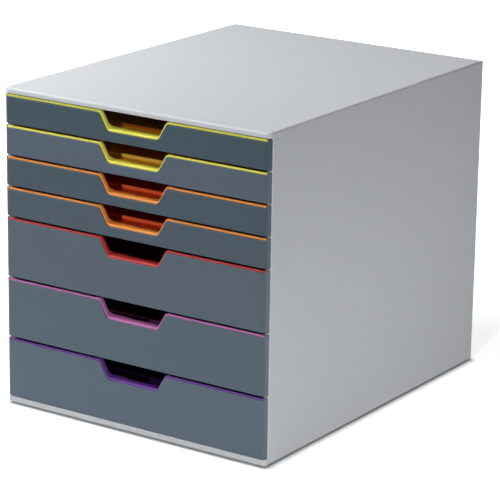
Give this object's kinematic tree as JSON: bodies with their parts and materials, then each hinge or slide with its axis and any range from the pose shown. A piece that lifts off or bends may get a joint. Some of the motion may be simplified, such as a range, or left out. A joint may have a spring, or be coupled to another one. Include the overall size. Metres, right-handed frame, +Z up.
{
  "type": "desktop drawer box",
  "caption": "Free-standing desktop box of shallow and deep drawers with notched fronts; each tray slides out on ledges and stops at full pull.",
  "frame": {"origin": "middle of the underside, on the surface that the rubber feet stand on", "axes": "+X to the right seen from the front, +Y from the drawer fronts to the back, +Z up"},
  "size_m": [0.28, 0.356, 0.292],
  "materials": {
    "casing_grey": "satin moulded, light grey",
    "front_slate": "satin moulded, slate grey",
    "tray_yellow": "satin moulded, yellow",
    "tray_orange": "satin moulded, orange",
    "tray_red": "satin moulded, red",
    "tray_pink": "satin moulded, pink",
    "tray_violet": "satin moulded, violet",
    "foot_rubber": "matt black",
    "screw_steel": "zinc plated"
  },
  "bodies": {
    "casing": {"casing_shell": "casing_grey", "back_panel": "casing_grey", "back_panel_screws": "screw_steel", "left_runner_frame": "casing_grey", "right_runner_frame": "casing_grey", "front_left_foot": "foot_rubber", "front_right_foot": "foot_rubber", "back_left_foot": "foot_rubber", "back_right_foot": "foot_rubber"},
    "drawer_1": {"drawer_1_tray": "tray_yellow", "drawer_1_front": "front_slate"},
    "drawer_2": {"drawer_2_tray": "tray_yellow", "drawer_2_front": "front_slate"},
    "drawer_3": {"drawer_3_tray": "tray_orange", "drawer_3_front": "front_slate"},
    "drawer_4": {"drawer_4_tray": "tray_orange", "drawer_4_front": "front_slate"},
    "drawer_5": {"drawer_5_tray": "tray_red", "drawer_5_front": "front_slate"},
    "drawer_6": {"drawer_6_tray": "tray_pink", "drawer_6_front": "front_slate"},
    "drawer_7": {"drawer_7_tray": "tray_violet", "drawer_7_front": "front_slate"}
  },
  "joints": [
    {"name": "drawer_1_slide", "type": "slide", "parent": "casing", "child": "drawer_1", "axis": [0, -1, 0], "range_m": [0, 0.25]},
    {"name": "drawer_2_slide", "type": "slide", "parent": "casing", "child": "drawer_2", "axis": [0, -1, 0], "range_m": [0, 0.25]},
    {"name": "drawer_3_slide", "type": "slide", "parent": "casing", "child": "drawer_3", "axis": [0, -1, 0], "range_m": [0, 0.25]},
    {"name": "drawer_4_slide", "type": "slide", "parent": "casing", "child": "drawer_4", "axis": [0, -1, 0], "range_m": [0, 0.25]},
    {"name": "drawer_5_slide", "type": "slide", "parent": "casing", "child": "drawer_5", "axis": [0, -1, 0], "range_m": [0, 0.25]},
    {"name": "drawer_6_slide", "type": "slide", "parent": "casing", "child": "drawer_6", "axis": [0, -1, 0], "range_m": [0, 0.25]},
    {"name": "drawer_7_slide", "type": "slide", "parent": "casing", "child": "drawer_7", "axis": [0, -1, 0], "range_m": [0, 0.25]}
  ]
}
